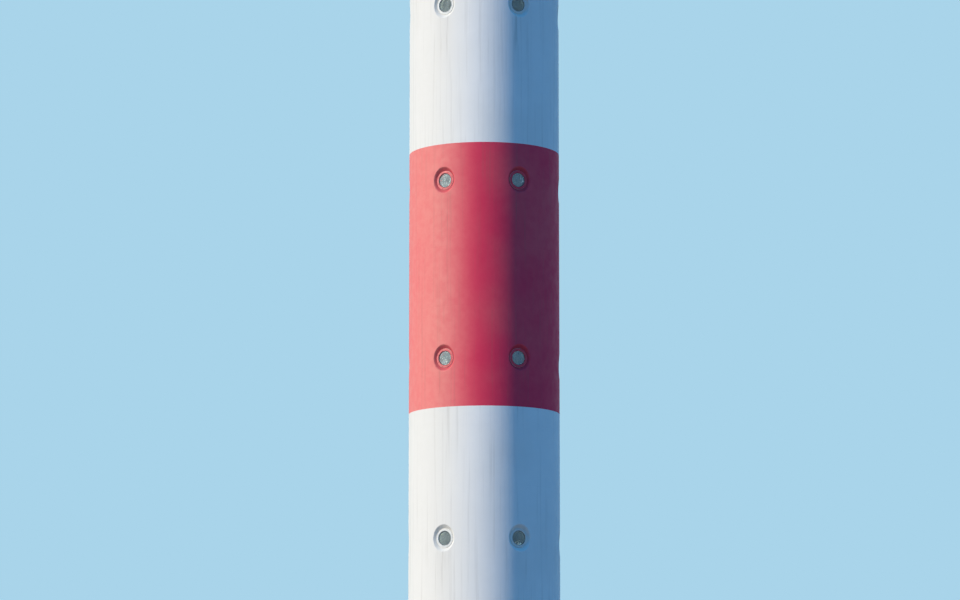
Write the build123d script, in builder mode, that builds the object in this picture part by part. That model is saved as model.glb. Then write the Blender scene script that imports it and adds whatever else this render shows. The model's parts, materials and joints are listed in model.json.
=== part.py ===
from build123d import *

import os
from math import cos, radians, sin, sqrt, tan

# A round concrete lighthouse in red and white bands, with columns of recessed portholes.
# Millimetres. +Z is up, and the origin is the centre of the base slab's underside.
# The entrance faces -Y. Angles are in degrees about +Z, counted from +X.

# Shaft
shaft_radius = 1800
wall_thickness = 250
band_names = ("lower_red", "lower_white", "upper_red", "upper_white")
storey_height = 4250
floor_names = ("first_floor", "second_floor", "third_floor", "fourth_floor", "fifth_floor")
floor_thickness = 180
column_count = 6
window_panel_angle = 40

# Base
base_projection = 60
base_slab_thickness = 250
plinth_height = 370
plinth_chamfer = 30
step_width = 1200
step_depth = 330
step_height = 125
step_rounding = 15

# Stair opening through the floors
stair_opening_width = 800
stair_opening_length = 1050
stair_opening_margin = 100

# Portholes: a splayed recess, a flat ledge, and a throat that takes the frame
porthole_above_floor = 1350
sight_radius = 170
pane_bite = 10
pane_edge_gap = 2
pane_thickness = 12
pane_depth = 15
frame_wall = 16
frame_length = 80
throat_clearance = 2
flange_lap = 25
flange_thickness = 14
flange_chamfer = 4
flange_clearance = 5
recess_splay = 90
recess_depth = 75

# Doors
door_angle = -90
door_frame_width = 50
door_frame_depth = 100
door_stop_width = 15
door_sill_height = 20
door_leaf_thickness = 50
door_leaf_gap = 3
door_panel_margin = 110
door_panel_recess = 12
door_panel_corner = 40
hinge_plate_width = 60
hinge_plate_thickness = 4
hinge_radius = 11
hinge_height = 110
hinge_inset = 240
handle_height = 1020
handle_from_edge = 75
handle_plate_width = 46
handle_plate_height = 210
handle_plate_corner = 12
handle_plate_thickness = 8
handle_bar_radius = 10
handle_length = 125
handle_standoff = 48
handle_bend = 22
entrance_width = 900
entrance_height = 2100
entrance_setback = 100
gallery_door_width = 760
gallery_lintel_height = 200
gallery_door_setback = 40

# Gallery
corbel_height = 700
corbel_lip_height = 90
corbel_bead_radius = 35
deck_radius = 2620
deck_overhang = 260
deck_thickness = 180
deck_edge_chamfer = 20
drip_groove_radius = 12
drip_groove_inset = 70

# Gallery railing
rail_edge_inset = 120
rail_post_count = 16
rail_height = 1100
rail_post_radius = 24
handrail_radius = 26
handrail_seat_gap = 0.3
mid_rail_radius = 13
mid_rail_hole_gap = 0.5
mid_rail_heights = (400, 750)
toe_plate_height = 100
toe_plate_thickness = 8
toe_plate_gap = 3
post_foot_width = 130
post_foot_thickness = 12
post_foot_corner = 16

# Service room
drum_radius = 1400
drum_thickness = 100
drum_height = 2050
lantern_floor_overhang = 70
lantern_floor_thickness = 90
lantern_floor_chamfer = 20
hatch_width = 600
hatch_length = 600
hatch_margin = 75

# Lantern
glass_inset = 70
lantern_side_count = 12
lantern_glass_height = 1640
sill_height = 200
sill_projection = 110
sill_width = 205
sill_chamfer = 30
head_height = 140
head_projection = 80
bar_web_depth = 80
bar_web_width = 26
bar_cap_width = 62
bar_cap_thickness = 12
cross_bar_height = 34
cross_bar_depth = 50
lantern_pane_thickness = 14
lantern_pane_gap = 3

# Cupola
eaves_projection = 200
eaves_height = 70
gutter_width = 60
gutter_depth = 40
gutter_lip = 12
dome_foot_gap = 18
dome_rise = 960
dome_thickness = 30
collar_radius = 220
collar_height = 40
collar_bore_radius = 130
rib_width = 26
rib_height = 24
vent_neck_radius = 150
vent_neck_height = 170
vent_flange_thickness = 24
vent_flange_inset = 10
vent_ball_radius = 225
vent_band_projection = 15
vent_band_height = 36
vent_top_radius = 60
rod_radius = 14
rod_length = 950
rod_tip_length = 90
rod_tip_radius = 3
rod_socket_radius = 34
rod_socket_height = 90

# Optic
pedestal_radius = 150
pedestal_foot_radius = 270
pedestal_foot_height = 40
pedestal_height = 420
table_margin = 23
table_thickness = 36
lens_inner_radius = 300
lens_wall = 16
lens_belt_height = 260
lens_belt_bulge = 44
prism_count = 6
prism_height = 50
prism_depth = 38
lens_ring_height = 24
lens_ring_width = 62

# Heights worked out from the sizes above
storey_count = len(floor_names) + 1
storey_floors = [base_slab_thickness + storey * storey_height for storey in range(storey_count)]
porthole_rows = [floor + porthole_above_floor for floor in storey_floors]
shaft_top = storey_floors[-1] + storey_height
plinth_top = base_slab_thickness + plinth_height
band_height = (shaft_top - plinth_top) / len(band_names)
band_bottoms = [plinth_top + band * band_height for band in range(len(band_names))]
deck_top = shaft_top + deck_thickness
drum_top = deck_top + drum_height
lantern_floor_top = drum_top + lantern_floor_thickness
glass_bottom = lantern_floor_top + sill_height
glass_top = glass_bottom + lantern_glass_height
head_top = glass_top + head_height
dome_base = head_top + eaves_height

# Radii, angles and distances worked out from the sizes above
inner_radius = shaft_radius - wall_thickness
base_radius = shaft_radius + base_projection
pane_radius = sight_radius + pane_bite
groove_radius = pane_radius + pane_edge_gap
throat_radius = groove_radius + frame_wall + throat_clearance
flange_radius = throat_radius + flange_lap
ledge_outer_radius = flange_radius + flange_clearance
recess_radius = ledge_outer_radius + recess_splay
ledge_distance = shaft_radius - recess_depth
flange_face = ledge_distance + flange_thickness
rail_circle_radius = deck_radius - rail_edge_inset
drum_inner_radius = drum_radius - drum_thickness
stair_opening_start = drum_inner_radius - stair_opening_margin - stair_opening_length
glass_face_distance = drum_radius - glass_inset
sill_outer_radius = glass_face_distance + sill_projection
sill_inner_radius = sill_outer_radius - sill_width
hatch_start = sill_inner_radius - hatch_margin - hatch_length
eaves_radius = glass_face_distance + eaves_projection
gutter_outer = eaves_radius - gutter_lip
gutter_inner = gutter_outer - gutter_width
dome_radius = gutter_inner - dome_foot_gap
column_pitch = 360 / column_count
column_angles = [door_angle + column * column_pitch for column in range(column_count)]
plain_angles = [angle + column_pitch / 2 for angle in column_angles]
side_pitch = 360 / lantern_side_count
bar_angles = [side * side_pitch for side in range(lantern_side_count)]
side_angles = [angle + side_pitch / 2 for angle in bar_angles]
cut_margin = 60


def turned(angles, height=0):
    """Places about the tower's axis, one for each angle, at a height."""
    return [Location((0, 0, height), (0, 0, angle)) for angle in angles]


def ring(radius_in, radius_out, bottom, height):
    """A plain upright ring."""
    with BuildPart() as plain_ring:
        with BuildSketch(Plane.XY.offset(bottom)):
            Circle(radius_out)
            Circle(radius_in, mode=Mode.SUBTRACT)
        extrude(amount=height)
    return plain_ring


def wall_arc(bottom, top, arc, rows=()):
    """A curved stretch of the shaft's wall, its middle at +X, with portholes at some heights."""
    with BuildPart() as stretch:
        with BuildSketch(Plane.XZ.rotated((0, 0, -arc / 2))):
            with Locations(((inner_radius + shaft_radius) / 2, (bottom + top) / 2)):
                Rectangle(wall_thickness, top - bottom)
        revolve(axis=Axis.Z, revolution_arc=arc)
        for row in rows:
            with Locations((0, 0, row)):
                add(porthole_cut.part, mode=Mode.SUBTRACT)
    return stretch.part


def door_plane(setback_face, bottom):
    """The upright plane of a door's outer face: x to the right, y up, facing -Y."""
    return Plane(origin=(0, -setback_face, bottom), x_dir=(1, 0, 0), z_dir=(0, -1, 0))


def opening_block(width, length, start, bottom, height):
    """A block of air on the +Y side of the axis, as cut from a floor."""
    with BuildPart() as block:
        with BuildSketch(Plane.XY.offset(bottom)):
            with Locations((0, start)):
                Rectangle(width, length, align=(Align.CENTER, Align.MIN))
        extrude(amount=height)
    return block.part


def doorway_block(width, height, bottom, radius):
    """A block of air through a wall on the -Y side, from its floor to its lintel."""
    with BuildPart() as block:
        with BuildSketch(Plane.XY.offset(bottom)):
            with Locations((0, -radius)):
                Rectangle(width, radius)
        extrude(amount=height)
    return block.part


def door_frame(width, height, bottom, face):
    """A door's frame, with its sill and with the stop that the leaf shuts against."""
    inner_width = width - 2 * door_frame_width
    inner_height = height - door_frame_width - door_sill_height
    stop_width = inner_width - 2 * door_stop_width
    stop_height = inner_height - 2 * door_stop_width
    with BuildPart() as frame:
        with BuildSketch(door_plane(face, bottom)):
            Rectangle(width, height, align=(Align.CENTER, Align.MIN))
            with Locations((0, door_sill_height)):
                Rectangle(inner_width, inner_height, align=(Align.CENTER, Align.MIN), mode=Mode.SUBTRACT)
        extrude(amount=-door_leaf_thickness)
        with BuildSketch(door_plane(face - door_leaf_thickness, bottom)):
            Rectangle(width, height, align=(Align.CENTER, Align.MIN))
            with Locations((0, door_sill_height + door_stop_width)):
                Rectangle(stop_width, stop_height, align=(Align.CENTER, Align.MIN), mode=Mode.SUBTRACT)
        extrude(amount=-(door_frame_depth - door_leaf_thickness))
    return frame


def door_leaf(width, height, bottom, face):
    """A steel door's leaf, shut against its stop, with two pressed panels."""
    leaf_width = width - 2 * (door_frame_width + door_leaf_gap)
    leaf_height = height - door_frame_width - door_sill_height - 2 * door_leaf_gap
    leaf_bottom = bottom + door_sill_height + door_leaf_gap
    panel_width = leaf_width - 2 * door_panel_margin
    panel_height = (leaf_height - 3 * door_panel_margin) / 2
    with BuildPart() as leaf:
        with BuildSketch(door_plane(face, leaf_bottom)):
            Rectangle(leaf_width, leaf_height, align=(Align.CENTER, Align.MIN))
        extrude(amount=-door_leaf_thickness)
        with BuildSketch(door_plane(face, leaf_bottom + leaf_height / 2)):
            with GridLocations(0, panel_height + door_panel_margin, 1, 2):
                RectangleRounded(panel_width, panel_height, door_panel_corner)
        extrude(amount=-door_panel_recess, mode=Mode.SUBTRACT)
    return leaf


def door_hinges(width, height, bottom, face):
    """Three hinges over the line between a door's frame and its leaf."""
    hinge_x = door_frame_width - width / 2
    knuckle_y = -face - hinge_radius
    heights = (bottom + hinge_inset, bottom + height / 2, bottom + height - hinge_inset)
    with BuildPart() as hinges:
        for middle in heights:
            with BuildSketch(Plane.XY.offset(middle - hinge_height / 2)):
                with Locations((hinge_x, -face)):
                    Rectangle(hinge_plate_width, hinge_plate_thickness, align=(Align.CENTER, Align.MAX))
                with Locations((hinge_x, knuckle_y)):
                    Circle(hinge_radius)
            extrude(amount=hinge_height)
    return hinges.part


def door_handle(width, bottom, face):
    """A lever handle and its plate on a door's leaf."""
    handle_x = width / 2 - door_frame_width - handle_from_edge
    plate_face = face + handle_plate_thickness
    lever_y = -(plate_face + handle_standoff)
    lever_z = bottom + handle_height
    spindle = Plane(origin=(handle_x, -face, lever_z), z_dir=(0, -1, 0))
    with BuildPart() as handle:
        with BuildSketch(door_plane(face, lever_z)):
            with Locations((handle_x, 0)):
                RectangleRounded(handle_plate_width, handle_plate_height, handle_plate_corner)
        extrude(amount=handle_plate_thickness)
        with BuildLine():
            FilletPolyline(
                (handle_x, -face, lever_z),
                (handle_x, lever_y, lever_z),
                (handle_x - handle_length, lever_y, lever_z),
                radius=handle_bend,
            )
        with BuildSketch(spindle):
            Circle(handle_bar_radius)
        sweep()
    return handle.part


def write(piece, name):
    """Labels a finished piece and writes its file."""
    piece.part.label = name
    export_step(piece.part, f"parts/{name}.step")


os.makedirs("parts", exist_ok=True)

# Base slab, the disc that the tower stands on, and the ground floor
with BuildPart() as base_slab:
    with BuildSketch():
        Circle(base_radius)
    extrude(amount=base_slab_thickness)

# Plinth, a low ring round the foot of the shaft, open at the doorway
entrance_block = doorway_block(entrance_width, entrance_height, base_slab_thickness, shaft_radius)
plinth_blank = ring(inner_radius, base_radius, base_slab_thickness, plinth_height)
with BuildPart() as plinth_ring:
    add(plinth_blank.part)
    outer_edge = plinth_ring.edges().group_by(Axis.Z)[-1].sort_by(SortBy.RADIUS)[-1]
    chamfer(outer_edge, length=plinth_chamfer)
    add(entrance_block, mode=Mode.SUBTRACT)

# Doorstep, hollowed to meet the round base
with BuildPart() as entrance_step:
    with BuildSketch():
        with Locations((0, -base_radius - step_depth)):
            Rectangle(step_width, 2 * step_depth, align=(Align.CENTER, Align.MIN))
        Circle(base_radius, mode=Mode.SUBTRACT)
    extrude(amount=step_height)
    front_edge = entrance_step.edges().group_by(Axis.Z)[-1].sort_by(Axis.Y)[0]
    fillet(front_edge, radius=step_rounding)

# The air of one porthole, its axis along +X: splayed recess, ledge and throat
with BuildPart() as porthole_cut:
    with BuildSketch():
        with BuildLine():
            Polyline(
                (shaft_radius + cut_margin, 0),
                (
                    shaft_radius + cut_margin,
                    recess_radius + cut_margin * (recess_radius - ledge_outer_radius) / recess_depth,
                ),
                (ledge_distance, ledge_outer_radius),
                (ledge_distance, throat_radius),
                (inner_radius - cut_margin, throat_radius),
                (inner_radius - cut_margin, 0),
                close=True,
            )
        make_face()
    revolve(axis=Axis.X)

# Shaft wall, band by band: panels round the columns of portholes, and plain ones between
band_portholes = []
for name, bottom in zip(band_names, band_bottoms):
    top = bottom + band_height
    rows = [row for row in porthole_rows if bottom < row < top]
    window_wall = wall_arc(bottom, top, window_panel_angle, rows)
    plain_wall = wall_arc(bottom, top, column_pitch - window_panel_angle)

    # The entrance takes the place of the lowest porthole in its column
    angles = [angle for angle in column_angles if bottom > plinth_top or angle != door_angle]
    with BuildPart() as window_panels:
        with Locations(*turned(angles)):
            add(window_wall)
    with BuildPart() as plain_panels:
        with Locations(*turned(plain_angles)):
            add(plain_wall)
    write(window_panels, f"{name}_window_panels")
    write(plain_panels, f"{name}_plain_panels")
    band_portholes += [(angle, row) for angle in column_angles for row in rows]

# The panel over and beside the entrance keeps the upper porthole of its band
entrance_rows = [row for row in porthole_rows[1:] if row < band_bottoms[1]]
entrance_wall = wall_arc(plinth_top, band_bottoms[1], window_panel_angle, entrance_rows)
with BuildPart() as entrance_panel:
    with Locations(*turned([door_angle])):
        add(entrance_wall)
    add(entrance_block, mode=Mode.SUBTRACT)

# Porthole frames and their panes, seated on the ledges
porthole_places = [
    place
    for angle, row in band_portholes
    if (angle, row) != (door_angle, porthole_rows[0])
    for place in turned([angle], row)
]
frame_back = flange_face - frame_length
pane_face = flange_face - pane_depth
with BuildPart() as one_frame:
    with BuildSketch():
        with BuildLine():
            Polyline(
                (flange_face, sight_radius + flange_chamfer),
                (flange_face, flange_radius - flange_chamfer),
                (flange_face - flange_chamfer, flange_radius),
                (ledge_distance, flange_radius),
                (ledge_distance, throat_radius - throat_clearance),
                (frame_back, throat_radius - throat_clearance),
                (frame_back, sight_radius),
                (pane_face - pane_thickness, sight_radius),
                (pane_face - pane_thickness, groove_radius),
                (pane_face, groove_radius),
                (pane_face, sight_radius),
                (flange_face - flange_chamfer, sight_radius),
                close=True,
            )
        make_face()
    revolve(axis=Axis.X)
with BuildPart() as one_pane:
    with BuildSketch(Plane.YZ.offset(pane_face - pane_thickness)):
        Circle(pane_radius)
    extrude(amount=pane_thickness)
with BuildPart() as porthole_frames:
    with Locations(*porthole_places):
        add(one_frame.part)
with BuildPart() as porthole_glass:
    with Locations(*porthole_places):
        add(one_pane.part)

# Storey floors, each with the stair opening
stair_block = opening_block(
    stair_opening_width, stair_opening_length, stair_opening_start, 0, deck_top + cut_margin
)
for name, level in zip(floor_names, storey_floors[1:]):
    with BuildPart() as storey_floor:
        with BuildSketch(Plane.XY.offset(level - floor_thickness)):
            Circle(inner_radius)
        extrude(amount=floor_thickness)
        add(stair_block, mode=Mode.SUBTRACT)
    write(storey_floor, name)

# Gallery corbel: a bead, a hollow curve and a lip round the top of the shaft
corbel_bottom = shaft_top - corbel_height
cove_bottom = corbel_bottom + 2 * corbel_bead_radius
cove_top = shaft_top - corbel_lip_height
bead_edge = shaft_radius + corbel_bead_radius
lip_edge = deck_radius - deck_overhang
cove_middle = (
    lip_edge - (lip_edge - bead_edge) * cos(radians(45)),
    cove_bottom + (cove_top - cove_bottom) * sin(radians(45)),
)
with BuildPart() as gallery_corbel:
    with BuildSketch(Plane.XZ):
        with BuildLine():
            Line((shaft_radius, corbel_bottom), (bead_edge, corbel_bottom))
            ThreePointArc(
                (bead_edge, corbel_bottom),
                (bead_edge + corbel_bead_radius, corbel_bottom + corbel_bead_radius),
                (bead_edge, cove_bottom),
            )
            ThreePointArc((bead_edge, cove_bottom), cove_middle, (lip_edge, cove_top))
            Polyline(
                (lip_edge, cove_top),
                (lip_edge, shaft_top),
                (shaft_radius, shaft_top),
                (shaft_radius, corbel_bottom),
            )
        make_face()
    revolve(axis=Axis.Z)

# Gallery deck, which also floors the service room, with a drip groove under its edge
groove_middle = deck_radius - drip_groove_inset
with BuildPart() as gallery_deck:
    with BuildSketch(Plane.XZ):
        with BuildLine():
            Line((0, shaft_top), (groove_middle - drip_groove_radius, shaft_top))
            ThreePointArc(
                (groove_middle - drip_groove_radius, shaft_top),
                (groove_middle, shaft_top + drip_groove_radius),
                (groove_middle + drip_groove_radius, shaft_top),
            )
            Polyline(
                (groove_middle + drip_groove_radius, shaft_top),
                (deck_radius, shaft_top),
                (deck_radius, deck_top - deck_edge_chamfer),
                (deck_radius - deck_edge_chamfer, deck_top),
                (0, deck_top),
                (0, shaft_top),
            )
        make_face()
    revolve(axis=Axis.Z)
    add(stair_block, mode=Mode.SUBTRACT)

# Gallery railing: the rails pass through the posts, and the handrail sits on them
handrail_level = deck_top + rail_height - handrail_radius
mid_rail_places = [(0, 0, deck_top + height) for height in mid_rail_heights]
with BuildPart() as railing_posts:
    with BuildSketch(Plane.XY.offset(deck_top)):
        with PolarLocations(rail_circle_radius, rail_post_count):
            RectangleRounded(post_foot_width, post_foot_width, post_foot_corner)
    extrude(amount=post_foot_thickness)
    with BuildSketch(Plane.XY.offset(deck_top + post_foot_thickness)):
        with PolarLocations(rail_circle_radius, rail_post_count):
            Circle(rail_post_radius)
    extrude(amount=handrail_level - deck_top - post_foot_thickness)
    with Locations((0, 0, handrail_level)):
        Torus(rail_circle_radius, handrail_radius + handrail_seat_gap, mode=Mode.SUBTRACT)
    with Locations(*mid_rail_places):
        Torus(rail_circle_radius, mid_rail_radius + mid_rail_hole_gap, mode=Mode.SUBTRACT)
with BuildPart() as handrail:
    with Locations((0, 0, handrail_level)):
        Torus(rail_circle_radius, handrail_radius)
with BuildPart() as mid_rails:
    with Locations(*mid_rail_places):
        Torus(rail_circle_radius, mid_rail_radius)
toe_plate_outer = rail_circle_radius - rail_post_radius
toe_plate_inner = toe_plate_outer - toe_plate_thickness
toe_plate_bottom = deck_top + post_foot_thickness + toe_plate_gap
toe_plate = ring(toe_plate_inner, toe_plate_outer, toe_plate_bottom, toe_plate_height)

# Service room wall, with the doorway to the gallery
gallery_door_height = drum_height - gallery_lintel_height
gallery_door_block = doorway_block(gallery_door_width, gallery_door_height, deck_top, drum_radius)
drum_blank = ring(drum_inner_radius, drum_radius, deck_top, drum_height)
with BuildPart() as service_room_wall:
    add(drum_blank.part)
    add(gallery_door_block, mode=Mode.SUBTRACT)

# The two doors, both shut
entrance_face = shaft_radius - entrance_setback
gallery_door_face = drum_radius - gallery_door_setback
entrance_door_frame = door_frame(entrance_width, entrance_height, base_slab_thickness, entrance_face)
entrance_door_leaf = door_leaf(entrance_width, entrance_height, base_slab_thickness, entrance_face)
gallery_door_frame = door_frame(gallery_door_width, gallery_door_height, deck_top, gallery_door_face)
gallery_door_leaf = door_leaf(gallery_door_width, gallery_door_height, deck_top, gallery_door_face)
entrance_hinges = door_hinges(entrance_width, entrance_height, base_slab_thickness, entrance_face)
gallery_hinges = door_hinges(gallery_door_width, gallery_door_height, deck_top, gallery_door_face)
entrance_handle = door_handle(entrance_width, base_slab_thickness, entrance_face)
gallery_handle = door_handle(gallery_door_width, deck_top, gallery_door_face)
with BuildPart() as hinges:
    add([entrance_hinges, gallery_hinges])
with BuildPart() as handles:
    add([entrance_handle, gallery_handle])

# Lantern room floor, with a hatch behind the optic
hatch_block = opening_block(hatch_width, hatch_length, hatch_start, drum_top, lantern_floor_thickness)
with BuildPart() as lantern_floor:
    with BuildSketch(Plane.XY.offset(drum_top)):
        Circle(drum_radius + lantern_floor_overhang)
    extrude(amount=lantern_floor_thickness)
    chamfer(lantern_floor.edges().group_by(Axis.Z)[-1], length=lantern_floor_chamfer)
    add(hatch_block, mode=Mode.SUBTRACT)

# Lantern sill and head, the rings that hold the glazing bars at foot and top
sill_blank = ring(sill_inner_radius, sill_outer_radius, lantern_floor_top, sill_height)
with BuildPart() as lantern_sill:
    add(sill_blank.part)
    outer_edge = lantern_sill.edges().group_by(Axis.Z)[-1].sort_by(SortBy.RADIUS)[-1]
    chamfer(outer_edge, length=sill_chamfer)
head_outer_radius = glass_face_distance + head_projection
lantern_head = ring(sill_inner_radius, head_outer_radius, glass_top, head_height)

# Glazing bars: a web between the panes and a cap outside them, bent to both neighbours
half_side = radians(side_pitch / 2)
half_web = bar_web_width / 2
half_cap = bar_cap_width / 2
cap_face = glass_face_distance + bar_cap_thickness


def across(face, offset):
    """How far out the face of a side lies, at an offset from a bar's middle."""
    return (face - offset * sin(half_side)) / cos(half_side)


web_start = glass_face_distance - bar_web_depth
bar_half = [
    (web_start, half_web),
    (across(glass_face_distance, half_web), half_web),
    (across(glass_face_distance, half_cap), half_cap),
    (across(cap_face, half_cap), half_cap),
    (across(cap_face, 0), 0),
]
bar_outline = bar_half + [(x, -y) for x, y in reversed(bar_half[:-1])]
with BuildPart() as one_bar:
    with BuildSketch(Plane.XY.offset(glass_bottom)):
        with BuildLine():
            Polyline(*bar_outline, close=True)
        make_face()
    extrude(amount=lantern_glass_height)
cross_bar_middle = (glass_bottom + glass_top) / 2
cross_bar_back = cap_face - cross_bar_depth
with BuildPart() as lantern_bars:
    with BuildSketch(Plane.XY.offset(cross_bar_middle - cross_bar_height / 2)):
        RegularPolygon(cap_face, lantern_side_count, major_radius=False)
        RegularPolygon(cross_bar_back, lantern_side_count, major_radius=False, mode=Mode.SUBTRACT)
    extrude(amount=cross_bar_height)
    with Locations(*turned(bar_angles)):
        add(one_bar.part)

# Lantern glass: two flat panes on each side, seated against the caps of the bars
glass_back = glass_face_distance - lantern_pane_thickness
pane_width = 2 * (glass_back * tan(half_side) - half_web / cos(half_side) - lantern_pane_gap)
pane_height = (lantern_glass_height - cross_bar_height) / 2 - 2 * lantern_pane_gap
pane_pitch = (lantern_glass_height + cross_bar_height) / 2
with BuildPart() as side_panes:
    with BuildSketch(Plane.YZ.offset(glass_back)):
        with Locations((0, cross_bar_middle)):
            with GridLocations(0, pane_pitch, 1, 2):
                Rectangle(pane_width, pane_height)
    extrude(amount=lantern_pane_thickness)
with BuildPart() as lantern_glass:
    with Locations(*turned(side_angles)):
        add(side_panes.part)

# Eaves ring, with its gutter round the foot of the dome
eaves_blank = ring(sill_inner_radius, eaves_radius, head_top, eaves_height)
with BuildPart() as eaves_gutter:
    add(eaves_blank.part)
    with BuildSketch(Plane.XY.offset(dome_base)):
        Circle(gutter_outer)
        Circle(gutter_inner, mode=Mode.SUBTRACT)
    extrude(amount=-gutter_depth, mode=Mode.SUBTRACT)

# Cupola: part of a sphere, with standing ribs and a flat collar for the ventilator
sphere_radius = (dome_radius**2 + dome_rise**2) / (2 * dome_rise)
sphere_middle = dome_base + dome_rise - sphere_radius
collar_top = dome_base + dome_rise + collar_height / 2


def on_sphere(radius, distance):
    """The point of a sphere round the dome's centre, at a distance from the tower's axis."""
    return (distance, sphere_middle + sqrt(radius**2 - distance**2))


dome_inside = sphere_radius - dome_thickness
inside_foot = sqrt(dome_inside**2 - (dome_base - sphere_middle) ** 2)
rib_start = collar_radius - rib_height
with BuildPart() as one_rib:
    with BuildSketch(Plane.XZ):
        with Locations((0, sphere_middle)):
            Circle(sphere_radius + rib_height)
            Circle(sphere_radius - dome_thickness / 2, mode=Mode.SUBTRACT)
        with Locations((rib_start, dome_base)):
            Rectangle(
                dome_radius - rib_start,
                2 * dome_rise,
                align=(Align.MIN, Align.MIN),
                mode=Mode.INTERSECT,
            )
    extrude(amount=rib_width / 2, both=True)
with BuildPart() as cupola:
    with BuildSketch(Plane.XZ):
        with BuildLine():
            ThreePointArc(
                (dome_radius, dome_base),
                on_sphere(sphere_radius, dome_radius / 2),
                on_sphere(sphere_radius, collar_radius),
            )
            Polyline(
                on_sphere(sphere_radius, collar_radius),
                (collar_radius, collar_top),
                (collar_bore_radius, collar_top),
                on_sphere(dome_inside, collar_bore_radius),
            )
            ThreePointArc(
                on_sphere(dome_inside, collar_bore_radius),
                on_sphere(dome_inside, dome_radius / 2),
                (inside_foot, dome_base),
            )
            Line((inside_foot, dome_base), (dome_radius, dome_base))
        make_face()
    revolve(axis=Axis.Z)
    with Locations(*turned(bar_angles)):
        add(one_rib.part)

# Ventilator: a flange on the collar, a neck, and a ball with a band round its middle
flange_top = collar_top + vent_flange_thickness
neck_top = flange_top + vent_neck_height
ball_middle = neck_top + sqrt(vent_ball_radius**2 - vent_neck_radius**2)
vent_top = ball_middle + sqrt(vent_ball_radius**2 - vent_top_radius**2)
half_band = vent_band_height / 2
vent_flange_radius = collar_radius - vent_flange_inset
vent_band_radius = vent_ball_radius + vent_band_projection


def on_ball(height):
    """The point of the ball's outline at a height from its middle."""
    return (sqrt(vent_ball_radius**2 - height**2), ball_middle + height)


with BuildPart() as ventilator:
    with BuildSketch(Plane.XZ):
        with BuildLine():
            Polyline(
                (0, vent_top),
                (0, collar_top),
                (vent_flange_radius, collar_top),
                (vent_flange_radius, flange_top),
                (vent_neck_radius, flange_top),
                (vent_neck_radius, neck_top),
            )
            ThreePointArc(
                (vent_neck_radius, neck_top),
                on_ball((neck_top - ball_middle - half_band) / 2),
                on_ball(-half_band),
            )
            Polyline(
                on_ball(-half_band),
                (vent_band_radius, ball_middle - half_band),
                (vent_band_radius, ball_middle + half_band),
                on_ball(half_band),
            )
            ThreePointArc(
                on_ball(half_band),
                on_ball((vent_top - ball_middle + half_band) / 2),
                (vent_top_radius, vent_top),
            )
            Line((vent_top_radius, vent_top), (0, vent_top))
        make_face()
    revolve(axis=Axis.Z)

# Lightning rod in its socket
rod_top = vent_top + rod_length
with BuildPart() as lightning_rod:
    with BuildSketch(Plane.XZ):
        with BuildLine():
            Polyline(
                (0, vent_top),
                (rod_socket_radius, vent_top),
                (rod_socket_radius, vent_top + rod_socket_height / 2),
                (rod_radius, vent_top + rod_socket_height),
                (rod_radius, rod_top - rod_tip_length),
                (rod_tip_radius, rod_top),
                (0, rod_top),
                close=True,
            )
        make_face()
    revolve(axis=Axis.Z)

# Optic pedestal, with its foot and its table
pedestal_top = lantern_floor_top + pedestal_height
lens_bottom = pedestal_top + table_thickness
ring_outer = lens_inner_radius + lens_ring_width
table_radius = ring_outer + table_margin
with BuildPart() as optic_pedestal:
    with BuildSketch(Plane.XZ):
        with BuildLine():
            Polyline(
                (0, lantern_floor_top),
                (pedestal_foot_radius, lantern_floor_top),
                (pedestal_foot_radius, lantern_floor_top + pedestal_foot_height),
                (pedestal_radius, lantern_floor_top + pedestal_foot_height),
                (pedestal_radius, pedestal_top),
                (table_radius, pedestal_top),
                (table_radius, lens_bottom),
                (0, lens_bottom),
                close=True,
            )
        make_face()
    revolve(axis=Axis.Z)

# Drum lens: a bulging belt at the light's height, with stepped prisms above and below it
prism_stack = prism_count * prism_height
lens_glass_bottom = lens_bottom + lens_ring_height
lens_middle = lens_glass_bottom + prism_stack + lens_belt_height / 2
lens_height = 2 * prism_stack + lens_belt_height
prism_root = lens_inner_radius + lens_wall
prism_edge = prism_root + prism_depth
upper_outline = []
for prism in range(prism_count):
    near = lens_belt_height / 2 + prism * prism_height
    upper_outline += [(prism_edge, near), (prism_root, near + prism_height)]
with BuildPart() as optic_lens:
    with BuildSketch(Plane.XZ):
        with BuildLine():
            ThreePointArc(
                (prism_edge, lens_middle - lens_belt_height / 2),
                (prism_root + lens_belt_bulge, lens_middle),
                (prism_edge, lens_middle + lens_belt_height / 2),
            )
            Polyline(*[(x, lens_middle + z) for x, z in upper_outline])
            Polyline(*[(x, lens_middle - z) for x, z in upper_outline])
            Polyline(
                (prism_root, lens_middle + lens_height / 2),
                (lens_inner_radius, lens_middle + lens_height / 2),
                (lens_inner_radius, lens_middle - lens_height / 2),
                (prism_root, lens_middle - lens_height / 2),
            )
        make_face()
    revolve(axis=Axis.Z)

# Brass rings that hold the lens at its foot and at its top
lower_ring = ring(lens_inner_radius, ring_outer, lens_bottom, lens_ring_height)
upper_ring = ring(lens_inner_radius, ring_outer, lens_glass_bottom + lens_height, lens_ring_height)
with BuildPart() as optic_rings:
    add([lower_ring.part, upper_ring.part])

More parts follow.
